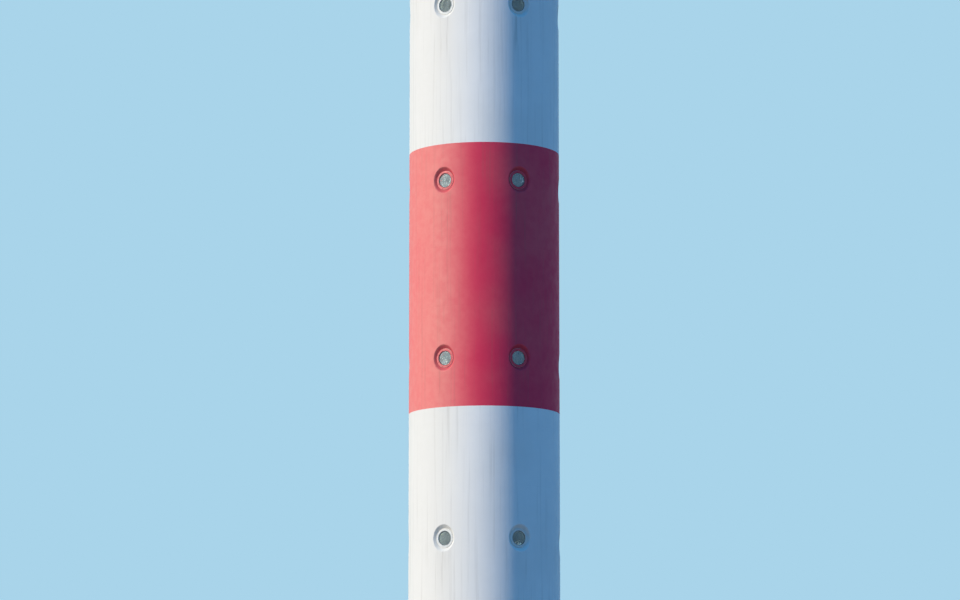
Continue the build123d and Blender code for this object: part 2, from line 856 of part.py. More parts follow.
write(base_slab, "base_slab")
write(plinth_ring, "plinth_ring")
write(entrance_step, "entrance_step")
write(entrance_panel, "entrance_panel")
write(porthole_frames, "porthole_frames")
write(porthole_glass, "porthole_glass")
write(entrance_door_frame, "entrance_door_frame")
write(entrance_door_leaf, "entrance_door_leaf")
write(gallery_door_frame, "gallery_door_frame")
write(gallery_door_leaf, "gallery_door_leaf")
write(hinges, "door_hinges")
write(handles, "door_handles")
write(gallery_corbel, "gallery_corbel")
write(gallery_deck, "gallery_deck")
write(railing_posts, "railing_posts")
write(handrail, "handrail")
write(mid_rails, "mid_rails")
write(toe_plate, "toe_plate")
write(service_room_wall, "service_room_wall")
write(lantern_floor, "lantern_floor")
write(lantern_sill, "lantern_sill")
write(lantern_bars, "lantern_bars")
write(lantern_glass, "lantern_glass")
write(lantern_head, "lantern_head")
write(eaves_gutter, "eaves_gutter")
write(cupola, "cupola")
write(ventilator, "ventilator")
write(lightning_rod, "lightning_rod")
write(optic_pedestal, "optic_pedestal")
write(optic_lens, "optic_lens")
write(optic_rings, "optic_rings")
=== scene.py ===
import json
import math

import bmesh
import bpy
import numpy as np
from mathutils import Matrix, Vector


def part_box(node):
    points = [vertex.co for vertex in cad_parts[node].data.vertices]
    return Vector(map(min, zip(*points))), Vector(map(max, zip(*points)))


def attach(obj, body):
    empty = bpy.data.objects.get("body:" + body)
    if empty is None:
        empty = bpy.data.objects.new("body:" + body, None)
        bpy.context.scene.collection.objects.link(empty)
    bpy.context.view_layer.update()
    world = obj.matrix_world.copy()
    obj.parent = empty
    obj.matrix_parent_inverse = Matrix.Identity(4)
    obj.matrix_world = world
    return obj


# The looks of a round concrete lighthouse in red and white bands.
# Metres. +Z is up, the entrance faces -Y, and angles are in degrees about +Z, from +X.

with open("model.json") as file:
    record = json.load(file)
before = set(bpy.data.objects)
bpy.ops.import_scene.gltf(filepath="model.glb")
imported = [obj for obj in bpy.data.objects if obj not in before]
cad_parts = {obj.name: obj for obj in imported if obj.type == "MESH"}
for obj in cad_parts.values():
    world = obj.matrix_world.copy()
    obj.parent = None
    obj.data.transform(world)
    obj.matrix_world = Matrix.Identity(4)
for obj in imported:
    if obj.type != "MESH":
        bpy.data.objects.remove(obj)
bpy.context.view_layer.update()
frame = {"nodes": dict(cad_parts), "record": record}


# Sizes and places read from the frame
def low(node):
    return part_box(node)[0]


def high(node):
    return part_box(node)[1]


openings = {o["name"]: o["box_m"] for o in frame["record"]["physics"]["openings"]}
shaft_radius = high("upper_red_plain_panels").x
base_radius = high("base_slab").x
base_top = high("base_slab").z
band_edges = [low(f"{band}_window_panels").z for band in ("lower_white", "upper_red", "upper_white")]
flange_face = high("porthole_frames").y
pane_face = high("porthole_glass").y
porthole_rows = sorted(
    (bounds[0][2] + bounds[1][2]) / 2
    for name, bounds in openings.items()
    if name.startswith("porthole_recess_north")
)
storey_height = porthole_rows[1] - porthole_rows[0]
deck_top = high("gallery_deck").z
drum_radius = high("service_room_wall").x
handrail_top = high("handrail").z
sill_top = high("lantern_sill").z
head_bottom = low("lantern_head").z
head_top = high("lantern_head").z
eaves_top = high("eaves_gutter").z
eaves_radius = high("eaves_gutter").x
dome_radius = high("cupola").x
lens_bottom = low("optic_lens").z
lens_top = high("optic_lens").z

# Walls and portholes, where the frame's boxes don't give the size
shaft_inner_radius = 1.550
drum_inner_radius = 1.300
column_count = 6
column_turn = 360 / column_count
door_angle = -90
column_angles = [door_angle + column_turn * column for column in range(column_count)]
recess_radius = 0.320
pane_bite = 0.010
flange_thickness = 0.014

# Gallery railing
rail_circle = 2.500
rail_post_count = 16
rail_post_angles = [360 / rail_post_count * post for post in range(rail_post_count)]
rail_post_radius = 0.024
handrail_radius = 0.026
mid_rail_heights = (0.400, 0.750)
mid_rail_radius = 0.013
post_foot_width = 0.130
post_foot_thickness = 0.012
toe_plate_thickness = 0.008

# Doors, each with its width, height, bottom, and distance of its face from the tower's axis
entrance_door = (0.900, 2.100, base_top, 1.700)
gallery_door = (0.760, 1.850, deck_top, 1.360)
door_frame_width = 0.050
door_sill_height = 0.020
door_leaf_gap = 0.003
hinge_inset = 0.240
hinge_height = 0.110
hinge_radius = 0.011
hinge_plate_thickness = 0.004
handle_height = 1.020
handle_from_edge = 0.075
handle_plate_thickness = 0.008

# Lantern, cupola and optic
lantern_side_count = 12
lantern_side_turn = 360 / lantern_side_count
lantern_half_side = math.radians(lantern_side_turn / 2)
glass_face_distance = 1.330
bar_cap_width = 0.062
bar_cap_thickness = 0.012
cross_bar_height = 0.034
dome_rise = 0.960
rib_half_width = 0.013
lens_ring_radius = 0.362


def disc_radius(node, face):
    """The radius of a node's discs, one of which faces 30 degrees from +X at a distance."""
    turn = math.radians(30)
    return (high(node).x - face * math.cos(turn)) / math.sin(turn)


pane_radius = disc_radius("porthole_glass", pane_face)
flange_radius = disc_radius("porthole_frames", flange_face)
sight_radius = pane_radius - pane_bite

# The photograph's view
camera_azimuth = 32.2
camera_distance = 95.0
camera_height = 1.6
camera_yaw = 0.061
camera_pitch = 8.593
camera_lens = 150.34

# Light, and the floor's size with the distances at which it fades
sun_turn = -67
sun_elevation = 27
sun_width = 5
sun_strength = 4.0
sun_colour = (1.0, 0.89, 0.73)
rim_turn = 172
rim_elevation = 35
rim_width = 20
rim_strength = 1.5
rim_colour = (0.95, 0.98, 1.0)
lamp_distance = 60
fill_colour = (0.035, 0.265, 0.665, 1.0)
floor_radius = 600
fade_start = 12.0
fade_end = 60.0


def srgb(red, green, blue):
    """A colour of the screen, 0 to 255, as linear light."""
    shares = [value / 255 for value in (red, green, blue)]
    return tuple(s / 12.92 if s <= 0.04045 else ((s + 0.055) / 1.055) ** 2.4 for s in shares) + (1.0,)


def scaled(colour, share):
    return tuple(min(1.0, value * share) for value in colour[:3]) + (1.0,)


# Colours of the walls: fresh paint; a paint of wear in patches that also gives the painted light and shade
# on the side facing the key lamp, paler red and greyer white; and a darker paint in recesses as painted
# shade
red = srgb(228, 50, 86)
white = srgb(246, 245, 241)
red_faded_and_painted_glare = srgb(226, 157, 138)
# Red: fresh; paler, for wear and as painted glare on the side facing the key lamp; darker, as painted shade
# in recesses
red_paints = (red, red_faded_and_painted_glare, srgb(176, 36, 60))
# White: fresh; greyer, for wear and as painted shade on the side facing the key lamp; greyer, as painted
# shade in recesses
white_paints = (white, srgb(217, 215, 207), srgb(214, 212, 204))
# How far wear in patches, the painted light and shade on the side facing the key lamp, and the painted
# shade in recesses change the paint
red_shares = (0.14, 0.58, 0.56)
white_shares = (0.25, 0.8, 0.4)
# The side facing the key lamp, where the paint carries painted light and shade
painted_light_angle = camera_azimuth - 90 + sun_turn
run_off = srgb(120, 108, 92)
run_off_reach = 2.1
lime_wash = srgb(205, 203, 194)
concrete_grey = srgb(160, 158, 151)
concrete_dark = srgb(112, 110, 104)
algae = srgb(92, 98, 78)

# Colours of the rest
white_enamel = srgb(222, 223, 219)
metal_red = srgb(208, 40, 64)
stand_green = srgb(52, 84, 74)
rust_brown = srgb(122, 70, 44)
steel_grey = srgb(176, 178, 180)
brass_yellow = srgb(206, 168, 92)
rubber_black = srgb(28, 29, 31)
putty_grey = srgb(196, 194, 186)
backdrop = srgb(169, 212, 234)
floor_colour = srgb(226, 218, 200)
floor_bounce = srgb(96, 100, 100)

# Glass, each with its tint, how much salt is on it, and the salt's colour
porthole_pane = (srgb(226, 236, 236), 0.28, srgb(206, 214, 214))
lantern_pane = (srgb(236, 244, 242), 0.035, srgb(214, 220, 220))
lens_prism = (srgb(214, 238, 226), 0.05, srgb(222, 232, 226))


class Surface:
    """A material with its colour, roughness and relief made by nodes."""

    def __init__(self, name):
        self.material = bpy.data.materials.new(name)
        self.material.use_nodes = True
        self.tree = self.material.node_tree
        self.shader = self.tree.nodes["Principled BSDF"]
        self.output = self.tree.nodes["Material Output"]
        self.place = self.node("ShaderNodeTexCoord").outputs["Object"]
        self.relief = None

    def node(self, kind, **settings):
        made = self.tree.nodes.new(kind)
        for name, value in settings.items():
            setattr(made, name, value)
        return made

    def feed(self, socket, value):
        """Links a socket to another one, or sets its value."""
        if isinstance(value, bpy.types.NodeSocket):
            self.tree.links.new(value, socket)
        else:
            socket.default_value = value

    def math(self, operation, *values, clamp=False):
        made = self.node("ShaderNodeMath", operation=operation, use_clamp=clamp)
        for socket, value in zip(made.inputs, values):
            self.feed(socket, value)
        return made.outputs[0]

    def product(self, *values):
        result = values[0]
        for value in values[1:]:
            result = self.math("MULTIPLY", result, value)
        return result

    def split(self):
        """The place's X, Y and Z."""
        made = self.node("ShaderNodeSeparateXYZ")
        self.feed(made.inputs[0], self.place)
        return made.outputs

    def radius(self):
        """The place's distance from the tower's axis."""
        x, y, _ = self.split()
        squares = self.math("ADD", self.math("POWER", x, 2.0), self.math("POWER", y, 2.0))
        return self.math("SQRT", squares)

    def noise(self, scale, detail, roughness, stretch=(1, 1, 1), seed=0.0):
        moved = self.node("ShaderNodeMapping")
        self.feed(moved.inputs["Vector"], self.place)
        moved.inputs["Location"].default_value = (seed, -seed, seed * 0.7)
        moved.inputs["Scale"].default_value = stretch
        made = self.node("ShaderNodeTexNoise")
        self.feed(made.inputs["Vector"], moved.outputs[0])
        made.inputs["Scale"].default_value = scale
        made.inputs["Detail"].default_value = detail
        made.inputs["Roughness"].default_value = roughness
        return made.outputs[0]

    def spots(self, scale):
        """The distance to the nearest of many scattered points."""
        made = self.node("ShaderNodeTexVoronoi")
        self.feed(made.inputs["Vector"], self.place)
        made.inputs["Scale"].default_value = scale
        return made.outputs["Distance"]

    def rise(self, value, start, end, low_value=0.0, high_value=1.0):
        """Goes smoothly from one value to another as the input goes from start to end."""
        made = self.node("ShaderNodeMapRange", interpolation_type="SMOOTHSTEP")
        self.feed(made.inputs["Value"], value)
        made.inputs["From Min"].default_value = start
        made.inputs["From Max"].default_value = end
        made.inputs["To Min"].default_value = low_value
        made.inputs["To Max"].default_value = high_value
        return made.outputs[0]

    def mix(self, share, first, second):
        """The first colour, and the given share of the second over it."""
        made = self.node("ShaderNodeMix", data_type="RGBA")
        self.feed(made.inputs["Factor"], share)
        self.feed(made.inputs[6], first)
        self.feed(made.inputs[7], second)
        return made.outputs[2]

    def emboss(self, height, distance, strength):
        """Adds relief: a height from 0 to 1, times a distance in metres."""
        made = self.node("ShaderNodeBump")
        made.inputs["Strength"].default_value = strength
        made.inputs["Distance"].default_value = distance
        self.feed(made.inputs["Height"], height)
        if self.relief is not None:
            self.feed(made.inputs["Normal"], self.relief)
        self.relief = made.outputs[0]

    def finish(self, colour, roughness, **sockets):
        self.feed(self.shader.inputs["Base Color"], colour)
        self.feed(self.shader.inputs["Roughness"], roughness)
        for name, value in sockets.items():
            self.feed(self.shader.inputs[name.replace("_", " ")], value)
        if self.relief is not None:
            self.feed(self.shader.inputs["Normal"], self.relief)
        return self.material


# Painted masonry and bare concrete
def below_portholes(s):
    """How much rain run-off a point of the shaft's face gets from the recess above it."""
    x, y, z = s.split()
    turn = s.math("DIVIDE", s.math("ARCTAN2", y, x), math.radians(column_turn))
    turn = s.math("SUBTRACT", turn, door_angle / column_turn)
    off_column = s.math("SUBTRACT", turn, s.math("ROUND", turn))
    aside = s.math("ABSOLUTE", s.math("MULTIPLY", off_column, math.radians(column_turn) * shaft_radius))
    storeys_down = s.math("DIVIDE", s.math("SUBTRACT", porthole_rows[0], z), storey_height)
    down = s.math("MULTIPLY", s.math("FRACT", s.math("ADD", storeys_down, 50.0)), storey_height)
    near = s.rise(aside, recess_radius, recess_radius * 0.2)
    start = s.rise(down, recess_radius * 0.75, recess_radius * 1.1)
    fade = s.rise(down, run_off_reach, recess_radius * 1.1)
    return s.product(near, start, fade)


def sun_side_light_and_shade(s):
    """How much a point of a round wall faces the key lamp's side, which gets painted light and shade."""
    x, y, _ = s.split()
    angle = math.radians(painted_light_angle)
    along = s.math("ADD", s.math("MULTIPLY", x, math.cos(angle)), s.math("MULTIPLY", y, math.sin(angle)))
    return s.rise(s.math("DIVIDE", along, s.radius()), 0.42, 0.92)


def pour_lifts(s, seed):
    """0 in the faint seams between the lifts in which the concrete was poured, 1 elsewhere."""
    z = s.split()[2]
    wander = s.math("MULTIPLY", s.noise(2.3, 3.0, 0.5, (1, 1, 0), seed), 0.012)
    lifts = s.math("DIVIDE", s.math("ADD", z, wander), storey_height / 3)
    off_seam = s.math("ABSOLUTE", s.math("SUBTRACT", lifts, s.math("ROUND", lifts)))
    return s.rise(off_seam, 0.002, 0.010)


def stained(s, colour, seed):
    """The colour with rain streaks, run-off below the portholes, and algae on the damp foot."""
    z = s.split()[2]
    streaks = s.rise(s.noise(1.0, 6.0, 0.6, (11, 11, 0.32), seed + 7), 0.50, 0.74)
    colour = s.mix(s.math("MULTIPLY", streaks, 0.13), colour, run_off)
    stains = s.product(below_portholes(s), s.rise(streaks, 0.0, 0.7, 0.25, 1.0), 0.22)
    colour = s.mix(stains, colour, run_off)
    damp = s.product(s.rise(z, 2.2, 0.3), s.rise(s.noise(3.0, 6.0, 0.65, seed=seed + 11), 0.42, 0.7), 0.4)
    return s.mix(damp, colour, algae)


def masonry_relief(s, seed):
    """Waves and pour seams of the concrete, brush marks and grain of the paint."""
    s.emboss(s.noise(1.4, 3.0, 0.5, (1, 1, 1.6), seed + 17), 0.010, 0.5)
    s.emboss(pour_lifts(s, seed + 29), 0.0016, 0.5)
    s.emboss(s.noise(38.0, 5.0, 0.65, (1, 1, 0.7), seed + 19), 0.0026, 0.6)
    s.emboss(s.noise(260.0, 3.0, 0.6, seed=seed + 23), 0.0010, 0.7)


def masonry_paint(name, paints, shares, radii, seed):
    """Brushed masonry paint over smooth concrete, lime washed on the inside, with painted light and shade
    on the side facing the key lamp and painted shade in recesses.
    """
    paint, wear_and_painted_light, painted_recess_shade = paints
    patch_share, painted_light_share, painted_recess_shade_share = shares
    outer_radius, inner_radius = radii
    s = Surface(name)
    patches = s.rise(s.noise(0.5, 3.0, 0.5, seed=seed), 0.35, 0.68)
    mottle = s.noise(6.0, 6.0, 0.62, seed=seed + 3)
    colour = s.mix(s.math("MULTIPLY", patches, patch_share), paint, wear_and_painted_light)
    # Painted light and shade: the side facing the key lamp takes the paint of wear, paler red and greyer
    # white
    colour = s.mix(s.math("MULTIPLY", sun_side_light_and_shade(s), painted_light_share), colour, wear_and_painted_light)
    colour = s.mix(s.rise(mottle, 0.3, 0.75, 0.0, 0.16), colour, scaled(paint, 0.88))
    colour = stained(s, colour, seed)
    # Painted shade: darker paint on the faces just inside the wall's outer face, in the porthole recesses
    # and throats and the door jambs
    recess = s.rise(s.radius(), outer_radius - 0.004, outer_radius - 0.030)
    colour = s.mix(s.math("MULTIPLY", recess, painted_recess_shade_share), colour, painted_recess_shade)
    inside = s.rise(s.radius(), inner_radius + 0.03, inner_radius + 0.01)
    colour = s.mix(inside, colour, lime_wash)
    masonry_relief(s, seed)
    return s.finish(colour, s.rise(mottle, 0.3, 0.7, 0.55, 0.72), Specular_IOR_Level=0.3)


def bare_concrete(name):
    """Grey concrete with sand grains, pores, darker clouds and a damp foot."""
    s = Surface(name)
    z = s.split()[2]
    cloud = s.rise(s.noise(1.6, 5.0, 0.6), 0.3, 0.72)
    sand = s.noise(90.0, 4.0, 0.7, seed=5)
    pores = s.rise(s.spots(38.0), 0.10, 0.03)
    colour = s.mix(cloud, concrete_grey, scaled(concrete_grey, 0.8))
    colour = s.mix(s.rise(sand, 0.4, 0.75, 0.0, 0.35), colour, concrete_dark)
    colour = s.mix(s.math("MULTIPLY", pores, 0.6), colour, scaled(concrete_dark, 0.55))
    damp = s.product(s.rise(z, 0.75, 0.05), s.rise(s.noise(4.0, 6.0, 0.6, seed=9), 0.35, 0.65), 0.55)
    colour = s.mix(damp, colour, algae)
    s.emboss(cloud, 0.004, 0.5)
    s.emboss(sand, 0.0012, 0.7)
    s.emboss(s.math("SUBTRACT", 1.0, pores), 0.003, 0.7)
    return s.finish(colour, s.rise(sand, 0.3, 0.7, 0.72, 0.9))


# Paint on metal, bare metal and rubber
def gloss_paint(name, paint, seed, chalk=0.25, rough=0.3):
    """Brushed gloss paint on metal, chalky in patches, with rust freckles."""
    s = Surface(name)
    patches = s.rise(s.noise(3.5, 4.0, 0.6, seed=seed), 0.4, 0.7)
    freckles = s.rise(s.noise(70.0, 4.0, 0.7, seed=seed + 3), 0.70, 0.78)
    colour = s.mix(s.math("MULTIPLY", patches, chalk), paint, s.mix(0.4, paint, white))
    colour = s.mix(s.math("MULTIPLY", freckles, 0.5), colour, rust_brown)
    s.emboss(s.noise(45.0, 3.0, 0.5, seed=seed + 5), 0.0008, 0.5)
    s.emboss(s.noise(7.0, 2.0, 0.5, seed=seed + 9), 0.003, 0.3)
    return s.finish(colour, s.rise(patches, 0.0, 1.0, rough, rough + 0.22))


def in_white_bands(s):
    """1 in the height of the white bands, 0 in that of the red ones."""
    z = s.split()[2]
    lower = s.math("COMPARE", z, (band_edges[0] + band_edges[1]) / 2, (band_edges[1] - band_edges[0]) / 2)
    return s.math("MAXIMUM", lower, s.math("GREATER_THAN", z, band_edges[2]))


def frame_paint(name):
    """The cast porthole frames, painted with the band that they are in, the red ones paler on the side
    facing the key lamp as painted glare.
    """
    s = Surface(name)
    patches = s.rise(s.noise(9.0, 4.0, 0.6), 0.4, 0.7)
    # Painted glare: the red frames paler on the side facing the key lamp
    painted_glare_red = s.mix(s.math("MULTIPLY", sun_side_light_and_shade(s), 0.4), scaled(red, 0.86), red_faded_and_painted_glare)
    colour = s.mix(in_white_bands(s), painted_glare_red, white_enamel)
    colour = s.mix(s.math("MULTIPLY", patches, 0.12), colour, run_off)
    s.emboss(s.noise(120.0, 3.0, 0.6), 0.0008, 0.6)
    return s.finish(colour, s.rise(patches, 0.0, 1.0, 0.36, 0.55))


def metal(name, tint, rough, seed):
    """Bare metal with fine scratches and duller patches."""
    s = Surface(name)
    scratches = s.noise(30.0, 3.0, 0.6, (1, 1, 14), seed)
    dull = s.rise(s.noise(8.0, 4.0, 0.6, seed=seed + 2), 0.35, 0.7)
    colour = s.mix(s.math("MULTIPLY", dull, 0.4), tint, scaled(tint, 0.7))
    s.emboss(scratches, 0.0003, 0.4)
    return s.finish(colour, s.rise(dull, 0.0, 1.0, rough, rough + 0.12), Metallic=1.0)


def rubber(name, tint, rough):
    """Rubber or putty with a paler bloom in patches."""
    s = Surface(name)
    bloom = s.rise(s.noise(40.0, 4.0, 0.6), 0.4, 0.7)
    colour = s.mix(s.math("MULTIPLY", bloom, 0.3), tint, scaled(tint, 1.8))
    s.emboss(s.noise(300.0, 2.0, 0.5), 0.0003, 0.4)
    return s.finish(colour, s.rise(bloom, 0.0, 1.0, rough, rough + 0.12))


# Glass
def let_lamps_through(s, tint):
    """Lamps shine through the glass, which would block them otherwise."""
    rays = s.node("ShaderNodeLightPath")
    clear = s.node("ShaderNodeBsdfTransparent")
    clear.inputs["Color"].default_value = tint
    mixed = s.node("ShaderNodeMixShader")
    s.feed(mixed.inputs[0], rays.outputs["Is Shadow Ray"])
    s.feed(mixed.inputs[1], s.shader.outputs[0])
    s.feed(mixed.inputs[2], clear.outputs[0])
    s.feed(s.output.inputs["Surface"], mixed.outputs[0])


def glass(name, kind, seed, share_in_white=1.0):
    """Glass with a haze of salt, thicker in patches, and thinner in the white bands where told."""
    tint, salt, salt_colour = kind
    s = Surface(name)
    haze = s.rise(s.noise(7.0, 5.0, 0.6, seed=seed), 0.3, 0.75, 0.6, 1.3)
    clear = 1.0 - 0.9 * salt
    if share_in_white < 1.0:
        share = s.rise(in_white_bands(s), 0.0, 1.0, 1.0, share_in_white)
        haze = s.math("MULTIPLY", haze, share)
        clear = s.math("SUBTRACT", 1.0, s.math("MULTIPLY", haze, salt), clamp=True)
    colour = s.mix(s.math("MULTIPLY", haze, salt), tint, salt_colour)
    s.finish(colour, s.rise(haze, 0.6, 1.3, 0.02, 0.08), Transmission_Weight=clear, IOR=1.5)
    let_lamps_through(s, scaled(tint, 0.9))
    return s.material


shaft_radii = (shaft_radius, shaft_inner_radius)
drum_radii = (drum_radius, drum_inner_radius)
materials = {
    "red_wall": masonry_paint("red_paint", red_paints, red_shares, shaft_radii, 2.0),
    "red_room_wall": masonry_paint("room_paint", red_paints, red_shares, drum_radii, 17.0),
    "white_wall": masonry_paint("white_paint", white_paints, white_shares, shaft_radii, 31.0),
    "concrete": bare_concrete("bare_concrete"),
    "porthole_frame": frame_paint("porthole_frame_paint"),
    "porthole_glass": glass("porthole_glass", porthole_pane, 4.0, 0.5),
    "door_paint": gloss_paint("door_paint", white_enamel, 14.0),
    "door_steel": metal("satin_steel", steel_grey, 0.28, 6.0),
    "railing_paint": gloss_paint("railing_paint", metal_red, 21.0),
    "lantern_red": gloss_paint("lantern_red_paint", metal_red, 41.0, 0.16, 0.32),
    "lantern_bar_paint": gloss_paint("lantern_bar_paint", white_enamel, 51.0),
    "lantern_glass": glass("lantern_glass", lantern_pane, 8.0),
    "rod_steel": metal("rod_steel", scaled(steel_grey, 0.8), 0.4, 16.0),
    "optic_stand": gloss_paint("stand_enamel", stand_green, 61.0, 0.1, 0.22),
    "optic_glass": glass("lens_glass", lens_prism, 12.0),
    "optic_brass": metal("polished_brass", brass_yellow, 0.16, 26.0),
}
materials["rubber"] = rubber("glazing_rubber", rubber_black, 0.5)
materials["putty"] = rubber("glazing_putty", putty_grey, 0.6)

for part in frame["record"]["subparts"]:
    node = frame["nodes"][part["node"]]
    node.data.materials.clear()
    node.data.materials.append(materials[part["material_slot"]])


# Shapes, each a list of points and a list of faces
sharp_angle = 35


def lathe(profile, sides, closed=False):
    """Turns (radius, height) points, from the bottom up along the outside, about the local Z."""
    points = []
    rings = []
    for radius, height in profile:
        count = sides if radius > 1e-7 else 1
        rings.append([len(points) + side for side in range(count)])
        for side in range(count):
            turn = 2 * math.pi * side / sides
            points.append((radius * math.cos(turn), radius * math.sin(turn), height))
    pairs = list(zip(rings, rings[1:])) + ([(rings[-1], rings[0])] if closed else [])
    faces = [face for below, above in pairs for face in ring_faces(below, above, sides)]
    return points, faces


def ring_faces(below, above, sides):
    """The faces between two rings of points, one of which may be a single point on the axis."""
    faces = []
    for side in range(sides):
        after = (side + 1) % sides
        if len(below) == 1 and len(above) > 1:
            faces.append((below[0], above[after], above[side]))
        elif len(above) == 1 and len(below) > 1:
            faces.append((below[side], below[after], above[0]))
        elif len(below) > 1:
            faces.append((below[side], below[after], above[after], above[side]))
    return faces


def ring(radius, section, sides):
    """A ring about the local Z, its (outward, upward) section closed and measured from a radius."""
    return lathe([(radius + out, rise) for out, rise in section], sides, closed=True)


def bead(radius, thickness, sides):
    """A ring of round section about the local Z."""
    turns = [2 * math.pi * step / 8 for step in range(8)]
    section = [(thickness * math.cos(turn), thickness * math.sin(turn)) for turn in turns]
    return ring(radius, section, sides)


def block(width, depth, height, bevel):
    """A box with rounded edges, its middle at the origin."""
    made = bmesh.new()
    bmesh.ops.create_cube(made, size=1.0)
    bmesh.ops.scale(made, vec=(width, depth, height), verts=made.verts)
    bmesh.ops.bevel(made, geom=made.edges[:], offset=bevel, segments=2, profile=0.5, affect="EDGES")
    made.verts.index_update()
    points = [tuple(v.co) for v in made.verts]
    faces = [tuple(v.index for v in f.verts) for f in made.faces]
    made.free()
    return points, faces


def arc(profile, start, end, steps):
    """A part of a ring about Z, from one angle to another, its (radius, height) section closed."""
    points = []
    faces = []
    corners = len(profile)
    for step in range(steps + 1):
        turn = math.radians(start + (end - start) * step / steps)
        points += [(radius * math.cos(turn), radius * math.sin(turn), height) for radius, height in profile]
    for step in range(steps):
        for corner in range(corners):
            after = (corner + 1) % corners
            here = step * corners
            there = here + corners
            faces.append((here + corner, there + corner, there + after, here + after))
    faces.append(tuple(range(corners)))
    faces.append(tuple(reversed(range(steps * corners, (steps + 1) * corners))))
    return points, faces


def window_ring(width, height, section):
    """A rectangular ring in the XY plane, its (inset, rise) section closed and mitred at the corners."""
    points = []
    faces = []
    corners = len(section)
    for x_side, y_side in ((-1, -1), (1, -1), (1, 1), (-1, 1)):
        for inset, rise in section:
            points.append((x_side * (width / 2 - inset), y_side * (height / 2 - inset), rise))
    for side in range(4):
        here = side * corners
        there = (side + 1) % 4 * corners
        for corner in range(corners):
            after = (corner + 1) % corners
            faces.append((here + corner, here + after, there + after, there + corner))
    return points, faces


def hex_bolt(across, height):
    """A washer and a six-sided head with a rounded top."""
    corner = across / math.sqrt(3)
    seat = height * 0.2
    washer_points, washer_faces = lathe([(0, 0), (corner * 1.25, 0), (corner * 1.25, seat), (0, seat)], 16)
    head = [(0, seat), (corner, seat), (corner, height * 0.88), (corner * 0.84, height), (0, height)]
    head_points, head_faces = lathe(head, 6)
    first = len(washer_points)
    moved = [tuple(first + point for point in face) for face in head_faces]
    return washer_points + head_points, washer_faces + moved


def dome_head(radius, height, sides):
    """A low domed rivet or screw head."""
    profile = [(0, 0), (radius, 0)]
    for step in range(1, 4):
        turn = math.radians(90) * step / 4
        profile.append((radius * math.cos(turn), height * math.sin(turn)))
    return lathe(profile + [(0, height)], sides)


# Places, as matrices
def outward(angle, distance, height):
    """A place on the tower: local X along the wall, local Y up, local Z outward."""
    turn = Matrix.Rotation(math.radians(angle), 4, "Z")
    stand = Matrix(((0, 0, 1, 0), (1, 0, 0, 0), (0, 1, 0, 0), (0, 0, 0, 1)))
    return turn @ Matrix.Translation((distance, 0, height)) @ stand


def upright(angle, distance, height):
    """A place on the tower: local X outward, local Y along the wall, local Z up."""
    return Matrix.Rotation(math.radians(angle), 4, "Z") @ Matrix.Translation((distance, 0, height))


def on_circle(place, radius, count, start):
    """Places round a circle in a place's own XY plane."""
    spots = []
    for step in range(count):
        turn = Matrix.Rotation(math.radians(start + 360 * step / count), 4, "Z")
        spots.append(place @ turn @ Matrix.Translation((radius, 0, 0)))
    return spots


def copies(shape, places):
    """The shape at each place, as one list of points and one of faces."""
    points, faces = shape
    shape_points = np.array(points, float)
    all_points = []
    all_faces = []
    for place in places:
        matrix = np.array(place)
        first = len(all_points)
        moved = shape_points @ matrix[:3, :3].T + matrix[:3, 3]
        all_points += [tuple(point) for point in moved]
        all_faces += [tuple(first + corner for corner in face) for face in faces]
    return all_points, all_faces


def piece(name, shapes, material):
    """Joins shapes into one named piece that rides on the tower, smooth but for its sharp edges."""
    points = []
    faces = []
    for shape_points, shape_faces in shapes:
        first = len(points)
        points += shape_points
        faces += [tuple(first + corner for corner in face) for face in shape_faces]
    mesh = bpy.data.meshes.new(name)
    mesh.from_pydata(points, [], faces)
    mesh.validate()
    mesh.shade_smooth()
    mesh.set_sharp_from_angle(angle=math.radians(sharp_angle))
    mesh.materials.append(materials[material])
    made = bpy.data.objects.new(name, mesh)
    bpy.context.scene.collection.objects.link(made)
    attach(made, "root")


# Portholes: bolts, glazing beads, gaskets and sealant
porthole_places = [(angle, row) for angle in column_angles for row in porthole_rows]
porthole_places.remove((door_angle, porthole_rows[0]))


def at_portholes(distance):
    """The middle of each porthole, at a distance from the tower's axis."""
    return [outward(angle, distance, row) for angle, row in porthole_places]


def portholes():
    faces = at_portholes(flange_face)
    bolt_circle = (sight_radius + flange_radius) / 2 + 0.007
    bolts = [spot for place in faces for spot in on_circle(place, bolt_circle, 8, 22.5)]
    piece("porthole_bolts", [copies(hex_bolt(0.017, 0.009), bolts)], "porthole_frame")
    section = [(0.0045, 0), (0.0165, 0), (0.0165, 0.003), (0.013, 0.0065), (0.008, 0.0065), (0.0045, 0.003)]
    beads = copies(ring(sight_radius, section, 72), faces)
    piece("porthole_beads", [beads], "porthole_frame")
    section = [(-0.0085, 0), (0, 0), (0, 0.0085), (-0.0025, 0.007), (-0.0075, 0.0025)]
    gaskets = copies(ring(sight_radius, section, 72), at_portholes(pane_face))
    piece("porthole_gaskets", [gaskets], "rubber")
    section = [(0.0035, 0), (0.0085, 0), (0.0055, 0.0045), (0.0035, 0.005)]
    sealant = copies(ring(flange_radius, section, 72), at_portholes(flange_face - flange_thickness))
    piece("porthole_sealant", [sealant], "putty")


portholes()


# Gallery railing: nuts and studs on the feet, and weld beads
def foot_bolts(foot_top):
    """Places of the four bolts in the foot of each post."""
    corner = post_foot_width / 2 - 0.024
    spots = []
    for angle in rail_post_angles:
        for radial in (-corner, corner):
            for aside in (-corner, corner):
                spots.append(upright(angle, rail_circle, foot_top) @ Matrix.Translation((radial, aside, 0)))
    return spots


